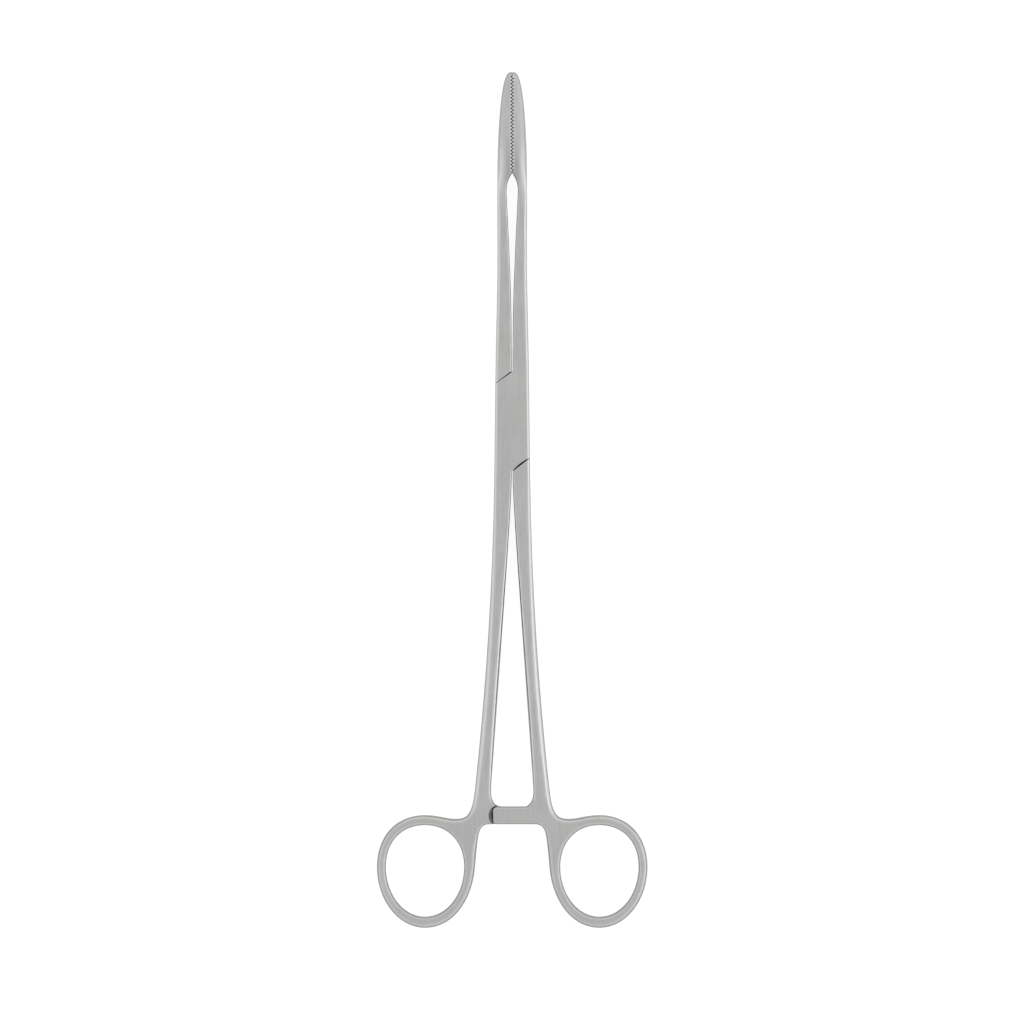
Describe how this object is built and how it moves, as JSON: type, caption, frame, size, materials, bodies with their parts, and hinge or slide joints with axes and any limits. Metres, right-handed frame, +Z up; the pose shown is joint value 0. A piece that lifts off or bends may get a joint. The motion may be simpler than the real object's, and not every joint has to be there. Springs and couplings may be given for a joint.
{
  "type": "sponge holding forceps",
  "caption": "Long straight box-lock forceps with slim cross-serrated jaws, slender shanks, oval finger rings and a ratchet, lying closed on its back.",
  "frame": {"origin": "on the pivot axis, at the back face of the lock, on which the instrument lies", "axes": "+Y from the pivot to the jaw tips, +Z up out of the front of the lock, +X to the right seen from the front"},
  "size_m": [0.0822, 0.2599, 0.0062],
  "materials": {
    "steel": "satin",
    "pin_steel": "satin"
  },
  "bodies": {
    "box_side": {"box_half": "steel", "lock_pin": "pin_steel"},
    "tongue_side": {"tongue_half": "steel"}
  },
  "joints": [
    {"name": "box_lock_pivot", "type": "hinge", "parent": "box_side", "child": "tongue_side", "pos_m": [0, 0, 0.0031], "axis": [0, 0, 1], "range_deg": [0, 46]}
  ]
}
